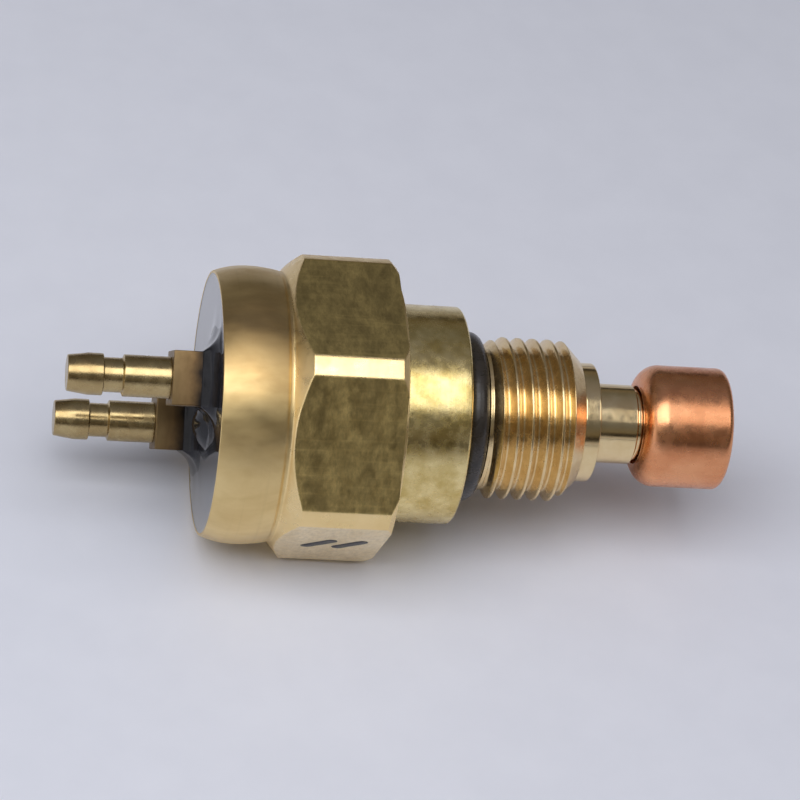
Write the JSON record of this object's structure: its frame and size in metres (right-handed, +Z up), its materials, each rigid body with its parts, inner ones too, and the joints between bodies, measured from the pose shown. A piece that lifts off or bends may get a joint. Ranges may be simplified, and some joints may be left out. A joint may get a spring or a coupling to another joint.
{
  "type": "thermal switch",
  "caption": "Screw-in brass thermal switch with a hexagon, O-ring, threaded nose, copper sensing bulb and two bullet terminals in black potting.",
  "frame": {"origin": "centre of the sealing face, where the round shoulder meets the boss", "axes": "+X is the insertion direction along the axis, towards the bulb; +Z is up, with one flat of the hexagon facing down"},
  "size_m": [0.0655, 0.03, 0.027],
  "materials": {
    "body_brass": "turned, slightly mottled",
    "polished_brass": "polished",
    "terminal_brass": "turned, glossy",
    "block_brass": "dull, tarnished brown",
    "copper": "polished copper",
    "o_ring_rubber": "smooth black",
    "diaphragm_rubber": "black",
    "potting_resin": "glossy black resin",
    "wax": "translucent wax",
    "phenolic": "moulded",
    "liner_plastic": "moulded",
    "plunger_plastic": "moulded",
    "gasket_fibre": "pressed fibre",
    "ground_steel": "ground",
    "spring_steel": "drawn wire",
    "silver_contact": "silver alloy",
    "marking_ink": "dry marker ink"
  },
  "bodies": {
    "switch_body": {"body": "body_brass", "o_ring": "o_ring_rubber", "element_guide": "polished_brass", "sensing_cup": "copper", "wax_charge": "wax", "diaphragm": "diaphragm_rubber", "return_spring": "spring_steel", "spring_seat": "body_brass", "fixed_contacts": "silver_contact", "terminal_rivets": "terminal_brass", "chamber_liner": "liner_plastic", "base_gasket": "gasket_fibre", "terminal_base": "phenolic", "terminal_post_front": "block_brass", "terminal_post_rear": "block_brass", "bullet_pin_front": "terminal_brass", "bullet_pin_rear": "terminal_brass", "potting": "potting_resin"},
    "plunger": {"plunger": "plunger_plastic", "calibration_disc": "ground_steel", "e_clip": "spring_steel", "overtravel_spring": "spring_steel"},
    "bridge": {"contact_bridge": "body_brass", "bridge_contacts": "silver_contact"},
    "piston": {"piston": "ground_steel", "backup_disc": "ground_steel", "rubber_plug": "diaphragm_rubber"}
  },
  "joints": [
    {"name": "plunger_slide", "type": "slide", "parent": "switch_body", "child": "plunger", "axis": [-1, 0, 0], "range_m": [0, 0.0016], "stiffness_N_per_m": 200, "springref_m": -0.004, "deforming": ["return_spring"]},
    {"name": "bridge_overtravel", "type": "slide", "parent": "plunger", "child": "bridge", "axis": [1, 0, 0], "range_m": [0, 0.0006], "stiffness_N_per_m": 300, "springref_m": -0.001, "deforming": ["overtravel_spring"]},
    {"name": "piston_slide", "type": "slide", "parent": "switch_body", "child": "piston", "axis": [-1, 0, 0], "range_m": [0, 0.0016]}
  ],
  "couplings": [
    {"joint": "piston_slide", "follows": "plunger_slide", "ratio": 1}
  ]
}
